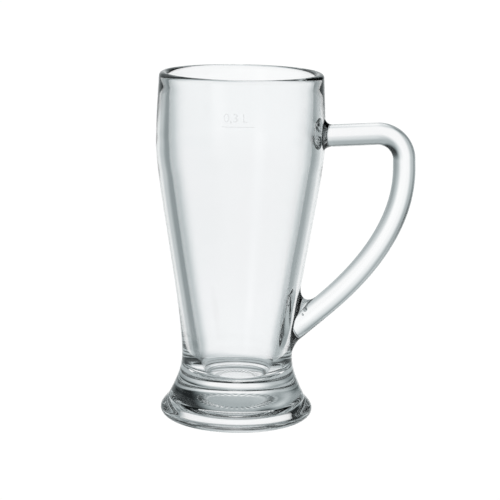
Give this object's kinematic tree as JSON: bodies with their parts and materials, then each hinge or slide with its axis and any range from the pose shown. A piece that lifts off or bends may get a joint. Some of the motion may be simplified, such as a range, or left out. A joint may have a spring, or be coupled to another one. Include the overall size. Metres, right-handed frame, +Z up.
{
  "type": "footed beer mug",
  "caption": "Tall clear glass beer mug: a thick-walled bowl that swells towards the rim, on a flared foot, with a bent glass rod handle fused on one side.",
  "frame": {"origin": "on the mug's axis, in the plane that the foot stands on", "axes": "+Z up along the mug's axis to the open rim, +X from the axis towards the handle"},
  "size_m": [0.1254, 0.0816, 0.17],
  "materials": {
    "bowl_glass": "clear fire-polished glass, faint cool tint",
    "foot_glass": "clear pressed glass, faint cool tint",
    "handle_glass": "clear drawn glass rod, faint cool tint"
  },
  "bodies": {
    "root": {"bowl": "bowl_glass", "foot": "foot_glass", "handle": "handle_glass"}
  },
  "joints": []
}
